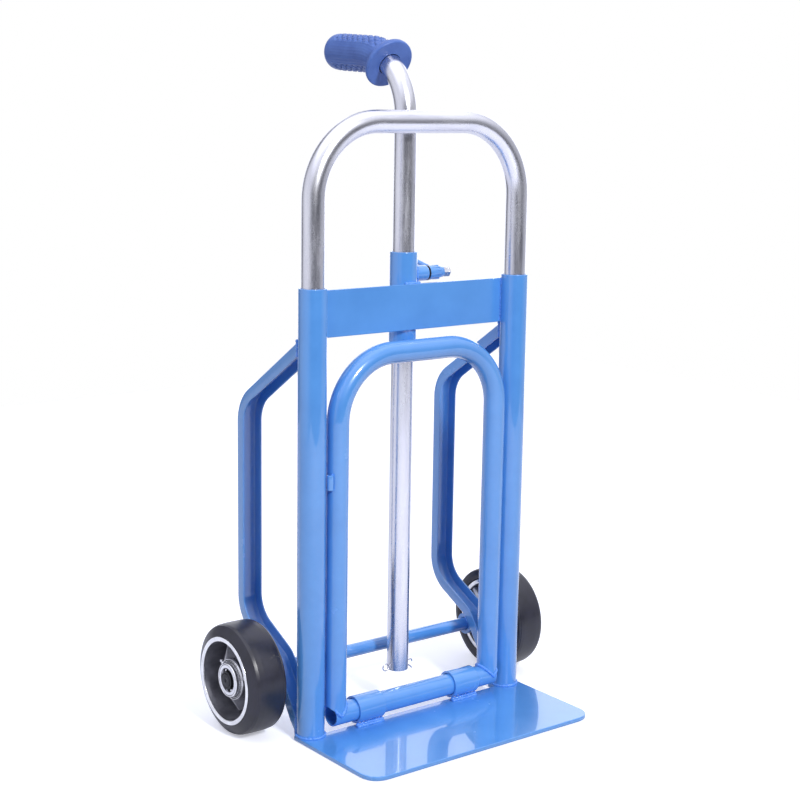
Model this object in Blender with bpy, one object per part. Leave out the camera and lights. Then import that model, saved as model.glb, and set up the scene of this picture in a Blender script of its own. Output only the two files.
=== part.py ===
"""Two-wheeled hand truck: tube frame, toe plate, fold-down nose frame, sliding pull pole.

Units are metres. X runs across, +Y to the back, +Z up. The origin is on the floor,
under the middle of the bounding box.
"""
import math

import bmesh
import bpy
from mathutils import Vector

X_AXIS = Vector((1, 0, 0))
Y_AXIS = Vector((0, 1, 0))
Z_AXIS = Vector((0, 0, 1))

GAP = 0.0003                    # clearance left where two pieces touch
TUBE_SIDES = 20
WHEEL_SIDES = 40
BEND_STEPS = 7
SMOOTH_ANGLE = math.radians(35)

# Frame uprights and the loop that slides into them
FRAME_Y = -0.0119               # plane of the uprights
UPRIGHT_X = 0.1438
UPRIGHT_R = 0.015875
UPRIGHT_BORE_R = 0.013375
UPRIGHT_TOP_Z = 0.5099
THIN_TUBE_R = 0.0127
THIN_BORE_R = 0.0107
LOOP_TOP_Z = 0.6859
LOOP_BEND_R = 0.0835
LOOP_FOOT_Z = 0.4200            # how far the loop reaches down inside the uprights

# Toe plate
PLATE_T = 0.0048
PLATE_HALF_W = 0.1612
PLATE_FRONT_Y = FRAME_Y - 0.1403
PLATE_REAR_Y = FRAME_Y - 0.0040
PLATE_EAR_Y = FRAME_Y + 0.0080
PLATE_EAR_X = 0.1260
PLATE_CORNER_R = 0.0250

# Flat crossbar and the sleeve behind it
CROSSBAR_FRONT_Y = FRAME_Y + 0.0075
CROSSBAR_BACK_Y = FRAME_Y + 0.0116
CROSSBAR_TOP_Z = 0.5054
CROSSBAR_BOTTOM_Z = 0.4532
POLE_Y = FRAME_Y + 0.0278
SLEEVE_TOP_Z = 0.5405
SLEEVE_BOTTOM_Z = 0.4350

# Clamp on the +X side of the sleeve
CLAMP_Z = 0.5145
BOSS_R = 0.0090
BOSS_BORE_R = 0.0054
BOSS_END_X = 0.0315
CLAMP_WASHER_R = 0.0088
CLAMP_WASHER_END_X = 0.0340
SCREW_R = 0.0050
SCREW_TIP_X = THIN_TUBE_R + GAP
SCREW_HEAD_R = 0.0062
SCREW_END_X = 0.0655
LEVER_START_X = 0.0343
LEVER_END_X = 0.0560
LEVER_ARM_ROOT = (0.0385, 0.0047, 0.0059)       # from the clamp's axis
LEVER_ARM_TIP = (0.0365, 0.0300, 0.0128)
LEVER_ARM_R = 0.0032

# Sliding pole and its grip
POLE_FOOT_Z = 0.0450
POLE_BEND_Z = 0.6903            # height at which the pole starts to bend back
POLE_BEND_R = 0.0695
POLE_BEND_TURN = math.radians(86.9)
POLE_END_S = 0.1700             # path length from the bend's start to the open end
GRIP_START_S = 0.0683
GRIP_END_S = 0.1756
GRIP_FLANGE_R = 0.0297
GRIP_FLANGE_T = 0.0050
GRIP_NECK_R = 0.0188
GRIP_R = 0.0208
GRIP_DOME_LENGTH = 0.0110
GRIP_BORE_R = THIN_TUBE_R + 3 * GAP

# Split pin through the pole's foot
PIN_Z = 0.0492
PIN_WIRE_R = 0.00085
PIN_HOLE_R = 0.0022
PIN_EYE_R = 0.0040
PIN_EYE_X = -0.0174

# Fold-down nose frame, its hinge bar and barrels
NOSE_Y = FRAME_Y - 0.0040
NOSE_TOP_Y = FRAME_Y - 0.0054
NOSE_BAR_Z = 0.0231
NOSE_BAR_HALF = 0.1190
NOSE_LEG_X = 0.1131
NOSE_TOP_Z = 0.4324
NOSE_BEND_R = 0.0730
BARREL_INNER_X = 0.0520
BARREL_OUTER_X = 0.0880
BARREL_R = 0.015875
BARREL_BORE_R = 0.0131
BARREL_FOOT_FRONT = 0.0120
STOP_LUG_X = -0.1281
STOP_LUG_Y = FRAME_Y - 0.0127
STOP_LUG_R = 0.0037
STOP_LUG_BOTTOM_Z = 0.2880
STOP_LUG_TOP_Z = 0.3050

# Pressed channel brackets behind the uprights
BRACKET_X = 0.1445
BRACKET_HALF_W = 0.0127
BRACKET_HALF_D = 0.00695
BRACKET_SHEET = 0.0020
BRACKET_CORNERS = (
    (FRAME_Y + 0.0020, 0.4495),
    (FRAME_Y + 0.1260, 0.3664),
    (FRAME_Y + 0.1260, 0.1150),
    (FRAME_Y + 0.0576, 0.0808),
    (FRAME_Y + 0.0050, 0.0028),
)
BRACKET_BENDS = (0.042, 0.040, 0.030)
BRACKET_BEND_STEPS = 5

# Axle and wheels
AXLE_Y = FRAME_Y + 0.0671
AXLE_Z = 0.0635
AXLE_R = 0.00794
AXLE_END_X = 0.2136
LUG_R = 0.0130
LUG_BORE_R = AXLE_R + GAP
LUG_HALF_W = 0.0095
LUG_FLATS = (                   # direction and distance at which the bracket limits the lug
    ((-0.829, 0.559), 0.0101),
    ((-0.656, 0.755), 0.0104),
    ((-0.438, 0.899), 0.0122),
)
TYRE_PROFILE = (                # distance from the middle plane, radius
    (0.1745, 0.0503), (0.2150, 0.0503), (0.2158, 0.0515), (0.2124, 0.0580),
    (0.2100, 0.0614), (0.2070, 0.0629), (0.2000, 0.0634), (0.1910, 0.0635),
    (0.1810, 0.0634), (0.1748, 0.0627), (0.1718, 0.0604), (0.1712, 0.0560),
    (0.1725, 0.0515),
)
HUB_PROFILE = (
    (0.1605, 0.0178), (0.1722, 0.0178), (0.1722, 0.0120), (0.2004, 0.0120),
    (0.2004, 0.0178), (0.2120, 0.0178), (0.2120, 0.0196), (0.2065, 0.0196),
    (0.2065, 0.0232), (0.1870, 0.0240), (0.1870, 0.0440), (0.2165, 0.0450),
    (0.2165, 0.0500), (0.1730, 0.0500), (0.1730, 0.0452), (0.1810, 0.0440),
    (0.1810, 0.0240), (0.1605, 0.0232),
)
RIB_COUNT = 3
RIB_HALF_T = 0.0025
RIB_PROFILE = ((0.1760, 0.0215), (0.2060, 0.0215), (0.1896, 0.0465), (0.1760, 0.0465))
RIB_PHASE = math.radians(43)
BEARING_R = 0.01746
BEARING_BORE_R = 0.0080
BEARING_SPANS = {"inner": (0.1608, 0.1719), "outer": (0.2007, 0.2118)}
SPACER_SPAN = (0.1575, 0.1602)
CLIP_SPAN = (0.2121, 0.2131)
SPACER_R = 0.0130
CLIP_R = 0.0104
NIPPLE_ANGLE = math.radians(30)
NIPPLE_X = 0.2038
NIPPLE_R = 0.0022
NIPPLE_LENGTH = 0.0062

COLOURS = {                     # slot: linear colour, metallic, roughness
    "blue_paint": ((0.105, 0.296, 0.807), 0.0, 0.22),
    "zinc_steel": ((0.62, 0.62, 0.66), 1.0, 0.25),
    "hub_metal": ((0.60, 0.60, 0.61), 1.0, 0.35),
    "tyre_rubber": ((0.018, 0.018, 0.022), 0.0, 0.50),
    "grip_rubber": ((0.060, 0.120, 0.420), 0.0, 0.50),
    "dark_steel": ((0.060, 0.062, 0.068), 1.0, 0.45),
    "bright_steel": ((0.66, 0.66, 0.68), 1.0, 0.22),
}


def clear_scene():
    for item in list(bpy.data.objects):
        bpy.data.objects.remove(item, do_unlink=True)


def material(slot):
    found = bpy.data.materials.get(slot)
    if found:
        return found
    colour, metallic, roughness = COLOURS[slot]
    made = bpy.data.materials.new(slot)
    made.use_nodes = True
    shader = made.node_tree.nodes["Principled BSDF"]
    shader.inputs["Base Color"].default_value = (*colour, 1.0)
    shader.inputs["Metallic"].default_value = metallic
    shader.inputs["Roughness"].default_value = roughness
    return made


def circle(centre, tangent, side, radius, count=TUBE_SIDES):
    """One ring of points round centre, square to tangent."""
    up = side.cross(tangent)
    angles = [2 * math.pi * i / count for i in range(count)]
    return [centre + (side * math.cos(a) + up * math.sin(a)) * radius for a in angles]


def loft(rings, cyclic=False):
    """Skin a run of rings with equal counts; a run that isn't cyclic is capped."""
    bm = bmesh.new()
    loops = [[bm.verts.new(p) for p in ring] for ring in rings]
    pairs = list(zip(loops, loops[1:]))
    if cyclic:
        pairs.append((loops[-1], loops[0]))
    for low, high in pairs:
        for i in range(len(low)):
            j = (i + 1) % len(low)
            bm.faces.new((low[i], low[j], high[j], high[i]))
    if not cyclic:
        bm.faces.new(loops[0])
        bm.faces.new(loops[-1])
    return bm


def bent_path(corners, radii, steps=BEND_STEPS):
    """Stations (point, tangent) along straight runs joined by round bends."""
    points = [Vector(c) for c in corners]
    stations = [(points[0], (points[1] - points[0]).normalized())]
    for before, corner, after, radius in zip(points, points[1:], points[2:], radii):
        arriving = (corner - before).normalized()
        leaving = (after - corner).normalized()
        turn = arriving.angle(leaving)
        inward = (leaving - arriving * arriving.dot(leaving)).normalized()
        centre = corner - arriving * radius * math.tan(turn / 2) + inward * radius
        for i in range(steps + 1):
            a = turn * i / steps
            spoke = arriving * math.sin(a) - inward * math.cos(a)
            heading = arriving * math.cos(a) + inward * math.sin(a)
            stations.append((centre + spoke * radius, heading))
    stations.append((points[-1], (points[-1] - points[-2]).normalized()))
    return stations


def tube(stations, side, outer_r, bore_r):
    """Open-ended tube along a path that lies square to side."""
    outer = [circle(p, t, side, outer_r) for p, t in stations]
    bore = [circle(p, t, side, bore_r) for p, t in reversed(stations)]
    return loft(outer + bore, cyclic=True)


def straight_tube(foot, top, side, outer_r, bore_r):
    heading = (top - foot).normalized()
    return tube([(foot, heading), (top, heading)], side, outer_r, bore_r)


def rod(foot, top, side, radius, count=TUBE_SIDES):
    heading = (top - foot).normalized()
    return loft([circle(p, heading, side, radius, count) for p in (foot, top)])


def prism(outline, direction):
    """Solid between a flat outline and its copy moved along direction."""
    return loft([outline, [p + direction for p in outline]])


def lathe(profile, sign, y, z, count):
    """Closed ring turned about an X axis from (distance, radius) pairs."""
    rings = [circle(Vector((sign * d, y, z)), X_AXIS, Y_AXIS, r, count) for d, r in profile]
    return loft(rings, cyclic=True)


def washer(span, sign, y, z, bore_r, outer_r, count=TUBE_SIDES):
    low, high = span
    profile = ((low, bore_r), (high, bore_r), (high, outer_r), (low, outer_r))
    return lathe(profile, sign, y, z, count)


def add(name, bm, slot, origin=(0.0, 0.0, 0.0)):
    """Turn bm into a named object whose own origin is at origin."""
    bmesh.ops.recalc_face_normals(bm, faces=bm.faces)
    bmesh.ops.translate(bm, verts=bm.verts, vec=-Vector(origin))
    mesh = bpy.data.meshes.new(name)
    bm.to_mesh(mesh)
    bm.free()
    mesh.materials.append(material(slot))
    mesh.shade_smooth()
    mesh.set_sharp_from_angle(angle=SMOOTH_ANGLE)
    made = bpy.data.objects.new(name, mesh)
    made.location = origin
    bpy.context.collection.objects.link(made)
    return made


def combine(target, bm, operation):
    """Cut or join a solid with target by an exact Boolean, then drop the tool."""
    tool = add("tool", bm, "blue_paint")
    tool.hide_render = True
    tool.display_type = "WIRE"
    modifier = target.modifiers.new("combine", "BOOLEAN")
    modifier.operation = operation
    modifier.solver = "EXACT"
    modifier.object = tool
    bpy.context.view_layer.update()
    graph = bpy.context.evaluated_depsgraph_get()
    result = bpy.data.meshes.new_from_object(target.evaluated_get(graph))
    target.modifiers.remove(modifier)
    spent = target.data
    result.name = target.name
    target.data = result
    bpy.data.meshes.remove(spent)
    bpy.data.objects.remove(tool, do_unlink=True)
    result.shade_smooth()
    result.set_sharp_from_angle(angle=SMOOTH_ANGLE)


def side_name(sign):
    return "right" if sign > 0 else "left"


def build_toe_plate():
    corner_y = PLATE_FRONT_Y + PLATE_CORNER_R
    corner_x = PLATE_HALF_W - PLATE_CORNER_R
    half = []
    for i in range(BEND_STEPS + 1):
        a = math.pi / 2 * i / BEND_STEPS
        x = corner_x + PLATE_CORNER_R * math.sin(a)
        half.append((x, corner_y - PLATE_CORNER_R * math.cos(a)))
    half.append((PLATE_HALF_W, PLATE_EAR_Y))
    half.append((PLATE_EAR_X, PLATE_EAR_Y))
    half.append((PLATE_EAR_X, PLATE_REAR_Y))
    outline = half + [(-x, y) for x, y in reversed(half)]
    bm = prism([Vector((x, y, 0)) for x, y in outline], Z_AXIS * PLATE_T)
    add("toe_plate", bm, "blue_paint")


def build_uprights():
    for sign in (-1, 1):
        foot = Vector((sign * UPRIGHT_X, FRAME_Y, PLATE_T + GAP))
        top = Vector((sign * UPRIGHT_X, FRAME_Y, UPRIGHT_TOP_Z))
        bm = straight_tube(foot, top, Y_AXIS, UPRIGHT_R, UPRIGHT_BORE_R)
        add(side_name(sign) + "_upright", bm, "blue_paint")


def build_top_loop():
    corners = [
        (-UPRIGHT_X, FRAME_Y, LOOP_FOOT_Z),
        (-UPRIGHT_X, FRAME_Y, LOOP_TOP_Z),
        (UPRIGHT_X, FRAME_Y, LOOP_TOP_Z),
        (UPRIGHT_X, FRAME_Y, LOOP_FOOT_Z),
    ]
    stations = bent_path(corners, [LOOP_BEND_R] * 2)
    add("top_loop", tube(stations, Y_AXIS, THIN_TUBE_R, THIN_BORE_R), "zinc_steel")


def build_crossbar():
    reach = UPRIGHT_R + GAP
    half = []
    for i in range(5):
        y = CROSSBAR_FRONT_Y + (CROSSBAR_BACK_Y - CROSSBAR_FRONT_Y) * i / 4
        inset = math.sqrt(reach ** 2 - (y - FRAME_Y) ** 2)
        half.append((UPRIGHT_X - inset, y))
    outline = half + [(-x, y) for x, y in reversed(half)]
    ring = [Vector((x, y, CROSSBAR_BOTTOM_Z)) for x, y in outline]
    bm = prism(ring, Z_AXIS * (CROSSBAR_TOP_Z - CROSSBAR_BOTTOM_Z))
    add("crossbar", bm, "blue_paint")


def build_sleeve():
    foot = Vector((0, POLE_Y, SLEEVE_BOTTOM_Z))
    top = Vector((0, POLE_Y, SLEEVE_TOP_Z))
    sleeve = add("pole_sleeve", straight_tube(foot, top, Y_AXIS, UPRIGHT_R, UPRIGHT_BORE_R),
                 "blue_paint")
    start = Vector((UPRIGHT_BORE_R * 0.5, POLE_Y, CLAMP_Z))
    end = Vector((UPRIGHT_R * 1.3, POLE_Y, CLAMP_Z))
    combine(sleeve, rod(start, end, Y_AXIS, BOSS_BORE_R), "DIFFERENCE")


def build_clamp():
    axis = (0.0, POLE_Y, CLAMP_Z)
    span = (UPRIGHT_R * 0.6, BOSS_END_X)
    boss = add("clamp_boss", washer(span, 1, POLE_Y, CLAMP_Z, BOSS_BORE_R, BOSS_R),
               "blue_paint")
    foot = Vector((0, POLE_Y, CLAMP_Z - 2 * BOSS_R))
    top = Vector((0, POLE_Y, CLAMP_Z + 2 * BOSS_R))
    combine(boss, rod(foot, top, Y_AXIS, UPRIGHT_R + GAP), "DIFFERENCE")

    span = (BOSS_END_X + GAP, CLAMP_WASHER_END_X)
    bm = washer(span, 1, POLE_Y, CLAMP_Z, BOSS_BORE_R, CLAMP_WASHER_R)
    add("clamp_washer", bm, "dark_steel")

    profile = (
        (SCREW_TIP_X, 0.0035), (SCREW_TIP_X + 0.0015, SCREW_R), (LEVER_END_X + GAP, SCREW_R),
        (LEVER_END_X + GAP, SCREW_HEAD_R), (SCREW_END_X - 0.0008, SCREW_HEAD_R),
        (SCREW_END_X, SCREW_HEAD_R - 0.0008),
    )
    rings = [circle(Vector((d, POLE_Y, CLAMP_Z)), X_AXIS, Y_AXIS, r, 18) for d, r in profile]
    add("clamp_screw", loft(rings), "bright_steel", axis)

    profile = (
        (LEVER_START_X, 0.0054), (LEVER_END_X, 0.0054), (LEVER_END_X, 0.0064),
        (LEVER_END_X - 0.0110, 0.0082), (LEVER_START_X + 0.0080, 0.0088), (LEVER_START_X, 0.0088),
    )
    lever = add("clamp_lever", lathe(profile, 1, POLE_Y, CLAMP_Z, TUBE_SIDES), "blue_paint", axis)
    start = Vector(LEVER_ARM_ROOT) + Vector(axis)
    end = Vector(LEVER_ARM_TIP) + Vector(axis)
    combine(lever, rod(start, end, X_AXIS, LEVER_ARM_R, 14), "UNION")


def pole_station(s):
    """Point and tangent at path length s from the start of the pole's bend."""
    if s <= 0:
        return Vector((0, POLE_Y, POLE_BEND_Z + s)), Z_AXIS.copy()
    a = min(s / POLE_BEND_R, POLE_BEND_TURN)
    tangent = Vector((0, math.sin(a), math.cos(a)))
    point = Vector((0, POLE_Y + POLE_BEND_R * (1 - math.cos(a)),
                    POLE_BEND_Z + POLE_BEND_R * math.sin(a)))
    return point + tangent * max(0.0, s - POLE_BEND_R * POLE_BEND_TURN), tangent


def path_ring(s, radius, count=TUBE_SIDES):
    point, tangent = pole_station(s)
    return circle(point, tangent, X_AXIS, radius, count)


def run_lengths(start, end):
    """Path lengths from start to end, with the bend's own stations between them."""
    bend_end = POLE_BEND_R * POLE_BEND_TURN
    bends = [bend_end * i / BEND_STEPS for i in range(BEND_STEPS + 1)]
    return [start] + [s for s in bends if start + 0.001 < s < end - 0.001] + [end]


def build_pole():
    lengths = run_lengths(POLE_FOOT_Z - POLE_BEND_Z, POLE_END_S)
    rings = [path_ring(s, THIN_TUBE_R) for s in lengths]
    rings += [path_ring(s, THIN_BORE_R) for s in reversed(lengths)]
    pole = add("pole", loft(rings, cyclic=True), "zinc_steel", (0.0, POLE_Y, POLE_FOOT_Z))
    start = Vector((-2 * THIN_TUBE_R, POLE_Y, PIN_Z))
    end = Vector((2 * THIN_TUBE_R, POLE_Y, PIN_Z))
    combine(pole, rod(start, end, Y_AXIS, PIN_HOLE_R, 12), "DIFFERENCE")


def build_grip():
    flange_end = GRIP_START_S + GRIP_FLANGE_T
    neck_end = flange_end + 0.0040
    dome_start = GRIP_END_S - GRIP_DOME_LENGTH
    skin = [(GRIP_START_S, GRIP_FLANGE_R - 0.0008), (GRIP_START_S + 0.0008, GRIP_FLANGE_R),
            (flange_end - 0.0008, GRIP_FLANGE_R), (flange_end, GRIP_FLANGE_R - 0.0008),
            (flange_end, GRIP_NECK_R), (neck_end, GRIP_NECK_R), (neck_end, GRIP_R)]
    skin += [(s, GRIP_R) for s in run_lengths(neck_end, dome_start)[1:-1]]
    for i in range(5):
        a = math.radians(85) * i / 4
        s = dome_start + GRIP_DOME_LENGTH * math.sin(a)
        skin.append((s, GRIP_R - GRIP_DOME_LENGTH * (1 - math.cos(a))))
    bore = run_lengths(GRIP_START_S, POLE_END_S + GAP)[::-1]
    rings = [path_ring(s, GRIP_BORE_R) for s in bore] + [path_ring(s, r) for s, r in skin]
    add("grip", loft(rings), "grip_rubber", (0.0, POLE_Y, POLE_FOOT_Z))


def build_split_pin():
    """One folded wire: upper leg, shank, round the eye, shank, lower leg."""
    strand = PIN_WIRE_R + 0.0001
    corners = [(0.0215, -0.0002), (0.0203, 0.0034), (0.0150, 0.0030), (0.0128, strand),
               (-0.0128, strand)]
    for i in range(9):
        a = math.radians(25) + math.radians(310) * i / 8
        corners.append((PIN_EYE_X + PIN_EYE_R * math.cos(a), PIN_EYE_R * math.sin(a)))
    corners += [(-0.0128, -strand), (0.0128, -strand), (0.0172, -0.0040), (0.0212, -0.0078)]
    points = [Vector((x, POLE_Y, PIN_Z + z)) for x, z in corners]
    rings = []
    for i, point in enumerate(points):
        before = points[max(i - 1, 0)]
        after = points[min(i + 1, len(points) - 1)]
        rings.append(circle(point, (after - before).normalized(), Y_AXIS, PIN_WIRE_R, 8))
    add("split_pin", loft(rings), "bright_steel", (0.0, POLE_Y, POLE_FOOT_Z))


def build_nose_frame():
    hinge = (0.0, NOSE_Y, NOSE_BAR_Z)
    corners = [
        (-NOSE_LEG_X, NOSE_Y, NOSE_BAR_Z),
        (-NOSE_LEG_X, NOSE_TOP_Y, NOSE_TOP_Z),
        (NOSE_LEG_X, NOSE_TOP_Y, NOSE_TOP_Z),
        (NOSE_LEG_X, NOSE_Y, NOSE_BAR_Z),
    ]
    lean = Vector((0, NOSE_TOP_Z - NOSE_BAR_Z, NOSE_Y - NOSE_TOP_Y)).normalized()
    bm = tube(bent_path(corners, [NOSE_BEND_R] * 2), lean, THIN_TUBE_R, THIN_BORE_R)
    arch = add("nose_frame", bm, "blue_paint", hinge)
    reach = NOSE_LEG_X + 2 * THIN_TUBE_R
    start = Vector((-reach, NOSE_Y, NOSE_BAR_Z))
    end = Vector((reach, NOSE_Y, NOSE_BAR_Z))
    combine(arch, rod(start, end, Y_AXIS, THIN_TUBE_R + GAP), "DIFFERENCE")

    start = Vector((-NOSE_BAR_HALF, NOSE_Y, NOSE_BAR_Z))
    end = Vector((NOSE_BAR_HALF, NOSE_Y, NOSE_BAR_Z))
    add("nose_bar", straight_tube(start, end, Y_AXIS, THIN_TUBE_R, THIN_BORE_R), "blue_paint",
        hinge)

    foot = Vector((STOP_LUG_X, STOP_LUG_Y, STOP_LUG_BOTTOM_Z))
    top = Vector((STOP_LUG_X, STOP_LUG_Y, STOP_LUG_TOP_Z))
    add("stop_lug", rod(foot, top, Y_AXIS, STOP_LUG_R, 14), "blue_paint", hinge)


def build_hinge_barrels():
    """Short tubes round the hinge bar, each with the foot that joins it to the plate."""
    foot_z = PLATE_T + GAP
    for sign in (-1, 1):
        low = sign * BARREL_INNER_X
        high = sign * BARREL_OUTER_X
        rings = []
        for x, radius in ((low, BARREL_R), (high, BARREL_R), (high, BARREL_BORE_R),
                          (low, BARREL_BORE_R)):
            ring = circle(Vector((x, NOSE_Y, NOSE_BAR_Z)), X_AXIS, Y_AXIS, radius, 24)
            if radius == BARREL_R:
                for point in ring:
                    drop = NOSE_BAR_Z - point.z
                    over_foot = -BARREL_FOOT_FRONT <= point.y - NOSE_Y <= 0.0001
                    if drop > 0.6 * BARREL_R and over_foot:
                        point.z = foot_z
            rings.append(ring)
        add(side_name(sign) + "_hinge_barrel", loft(rings, cyclic=True), "blue_paint")


def build_brackets():
    w, d, t = BRACKET_HALF_W, BRACKET_HALF_D, BRACKET_SHEET
    section = ((-w, -d), (-w, d), (w, d), (w, -d), (w - t, -d), (w - t, d - t),
               (t - w, d - t), (t - w, -d))
    stations = bent_path([(0, y, z) for y, z in BRACKET_CORNERS], BRACKET_BENDS,
                         BRACKET_BEND_STEPS)
    for sign in (-1, 1):
        rings = []
        for point, tangent in stations:
            outward = X_AXIS.cross(tangent)
            centre = point + X_AXIS * sign * BRACKET_X
            rings.append([centre + X_AXIS * u + outward * v for u, v in section])
        bracket = add(side_name(sign) + "_bracket", loft(rings), "blue_paint")
        foot = Vector((sign * UPRIGHT_X, FRAME_Y, -0.05))
        top = Vector((sign * UPRIGHT_X, FRAME_Y, UPRIGHT_TOP_Z))
        combine(bracket, rod(foot, top, Y_AXIS, UPRIGHT_R + GAP, 40), "DIFFERENCE")
        low = PLATE_T + GAP
        square = [Vector((sign * UPRIGHT_X + x, FRAME_Y + y, low - 0.05))
                  for x, y in ((-0.04, -0.04), (0.04, -0.04), (0.04, 0.04), (-0.04, 0.04))]
        combine(bracket, prism(square, Z_AXIS * 0.05), "DIFFERENCE")


def build_axle():
    start = Vector((-AXLE_END_X, AXLE_Y, AXLE_Z))
    end = Vector((AXLE_END_X, AXLE_Y, AXLE_Z))
    add("axle", rod(start, end, Y_AXIS, AXLE_R, 24), "blue_paint", (0.0, AXLE_Y, AXLE_Z))
    for sign in (-1, 1):
        rings = []
        ends = (sign * (BRACKET_X - LUG_HALF_W), sign * (BRACKET_X + LUG_HALF_W))
        for x, bore in ((ends[0], False), (ends[1], False), (ends[1], True), (ends[0], True)):
            centre = Vector((x, AXLE_Y, AXLE_Z))
            ring = circle(centre, X_AXIS, Y_AXIS, 1.0, 32)
            fitted = []
            for point in ring:
                spoke = point - centre
                reach = LUG_BORE_R if bore else LUG_R
                for (ny, nz), limit in LUG_FLATS:
                    facing = spoke.y * ny + spoke.z * nz
                    if facing > 0 and not bore:
                        reach = min(reach, limit / facing)
                fitted.append(centre + spoke * reach)
            rings.append(fitted)
        add(side_name(sign) + "_axle_lug", loft(rings, cyclic=True), "blue_paint")


def build_ribs(hub, sign):
    for i in range(RIB_COUNT):
        a = RIB_PHASE + 2 * math.pi * i / RIB_COUNT
        spoke = Vector((0, math.cos(a), math.sin(a)))
        across = Vector((0, -math.sin(a), math.cos(a))) * RIB_HALF_T
        centre = Vector((0, AXLE_Y, AXLE_Z)) - across
        outline = [centre + X_AXIS * sign * d + spoke * r for d, r in RIB_PROFILE]
        combine(hub, prism(outline, across * 2), "UNION")


def build_wheels():
    for sign in (-1, 1):
        side = side_name(sign)
        axis = (0.0, AXLE_Y, AXLE_Z)
        add(side + "_tyre", lathe(TYRE_PROFILE, sign, AXLE_Y, AXLE_Z, WHEEL_SIDES),
            "tyre_rubber", axis)
        hub = add(side + "_hub", lathe(HUB_PROFILE, sign, AXLE_Y, AXLE_Z, WHEEL_SIDES),
                  "hub_metal", axis)
        build_ribs(hub, sign)
        for place, span in BEARING_SPANS.items():
            bm = washer(span, sign, AXLE_Y, AXLE_Z, BEARING_BORE_R, BEARING_R, 32)
            add(side + "_" + place + "_bearing", bm, "dark_steel", axis)
        spoke = Vector((0, math.cos(NIPPLE_ANGLE), math.sin(NIPPLE_ANGLE)))
        seat = Vector((sign * NIPPLE_X, AXLE_Y, AXLE_Z)) + spoke * (0.0240 + GAP)
        bm = rod(seat, seat + spoke * NIPPLE_LENGTH, X_AXIS, NIPPLE_R, 10)
        add(side + "_grease_nipple", bm, "bright_steel", axis)
        bm = washer(SPACER_SPAN, sign, AXLE_Y, AXLE_Z, AXLE_R + GAP, SPACER_R)
        add(side + "_axle_spacer", bm, "bright_steel")
        bm = washer(CLIP_SPAN, sign, AXLE_Y, AXLE_Z, AXLE_R + GAP, CLIP_R)
        add(side + "_axle_clip", bm, "dark_steel")


clear_scene()
build_toe_plate()
build_uprights()
build_top_loop()
build_crossbar()
build_sleeve()
build_clamp()
build_pole()
build_grip()
build_split_pin()
build_nose_frame()
build_hinge_barrels()
build_brackets()
build_axle()
build_wheels()
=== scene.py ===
"""Two-wheeled hand truck in blue enamel and bright zinc, dressed for a studio view."""
import math

import bmesh
import bpy
from mathutils import Matrix, Vector


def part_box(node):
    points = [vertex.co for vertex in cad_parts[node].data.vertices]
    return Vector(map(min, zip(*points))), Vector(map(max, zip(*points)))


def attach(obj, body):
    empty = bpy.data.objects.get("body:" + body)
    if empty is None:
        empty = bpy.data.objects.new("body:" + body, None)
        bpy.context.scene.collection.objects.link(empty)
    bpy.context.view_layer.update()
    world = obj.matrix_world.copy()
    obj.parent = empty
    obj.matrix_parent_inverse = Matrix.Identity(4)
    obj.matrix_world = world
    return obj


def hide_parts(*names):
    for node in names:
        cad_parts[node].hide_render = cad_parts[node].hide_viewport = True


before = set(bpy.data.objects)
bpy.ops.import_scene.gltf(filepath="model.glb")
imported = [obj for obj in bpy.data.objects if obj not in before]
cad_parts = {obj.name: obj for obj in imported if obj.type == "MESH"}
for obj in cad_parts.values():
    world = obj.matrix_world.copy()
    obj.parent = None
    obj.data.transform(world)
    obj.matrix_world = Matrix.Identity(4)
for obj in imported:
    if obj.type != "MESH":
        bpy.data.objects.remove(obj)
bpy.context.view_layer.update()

X = Vector((1, 0, 0))
Y = Vector((0, 1, 0))
Z = Vector((0, 0, 1))
SIDES = 56                      # facets round a tube
WHEEL_SIDES = 128               # facets round a wheel
SIGNS = {"left": -1, "right": 1}
THIN_WALL = 0.002               # wall of the bent tubes and of the hinge bar
THICK_WALL = 0.0025             # wall of the uprights and of the sleeve
CUT_ROUND = 0.0007              # round on the cut ends of the thick tubes
NEEDLE = 0.0001                 # radius at which a turned profile meets its axis
WELD_PITCH = 0.0016             # step from one ripple of a weld bead to the next
MAX_SHARE = 0.48                # largest share of a side that a rounded corner may take


# ---- shapes -------------------------------------------------------------------------------

def fillet(points, radius, steps=4, closed=True):
    """Round the corners of a flat outline; a corner may carry its own radius as a third value."""
    rounded = []
    count = len(points)
    for i, corner in enumerate(points):
        here = Vector(corner[:2])
        wanted = corner[2] if len(corner) > 2 else radius
        if not closed and i in (0, count - 1):
            rounded.append(here)
            continue
        before = Vector(points[i - 1][:2]) - here
        after = Vector(points[(i + 1) % count][:2]) - here
        half = before.angle(after) / 2
        reach = min(wanted / math.tan(half), MAX_SHARE * before.length,
                    MAX_SHARE * after.length)
        if reach < 1e-6 or half > math.radians(89):
            rounded.append(here)
            continue
        start = here + before.normalized() * reach
        end = here + after.normalized() * reach
        for k in range(steps + 1):
            t = k / steps
            rounded.append(start * (1 - t) ** 2 + here * 2 * t * (1 - t) + end * t ** 2)
    return rounded


def ring(centre, tangent, side, radius, sides=SIDES):
    """Points round centre, square to tangent; radius may be a function of the angle."""
    up = side.cross(tangent)
    points = []
    for i in range(sides):
        a = 2 * math.pi * i / sides
        r = radius(a) if callable(radius) else radius
        points.append(centre + (side * math.cos(a) + up * math.sin(a)) * r)
    return points


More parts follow.
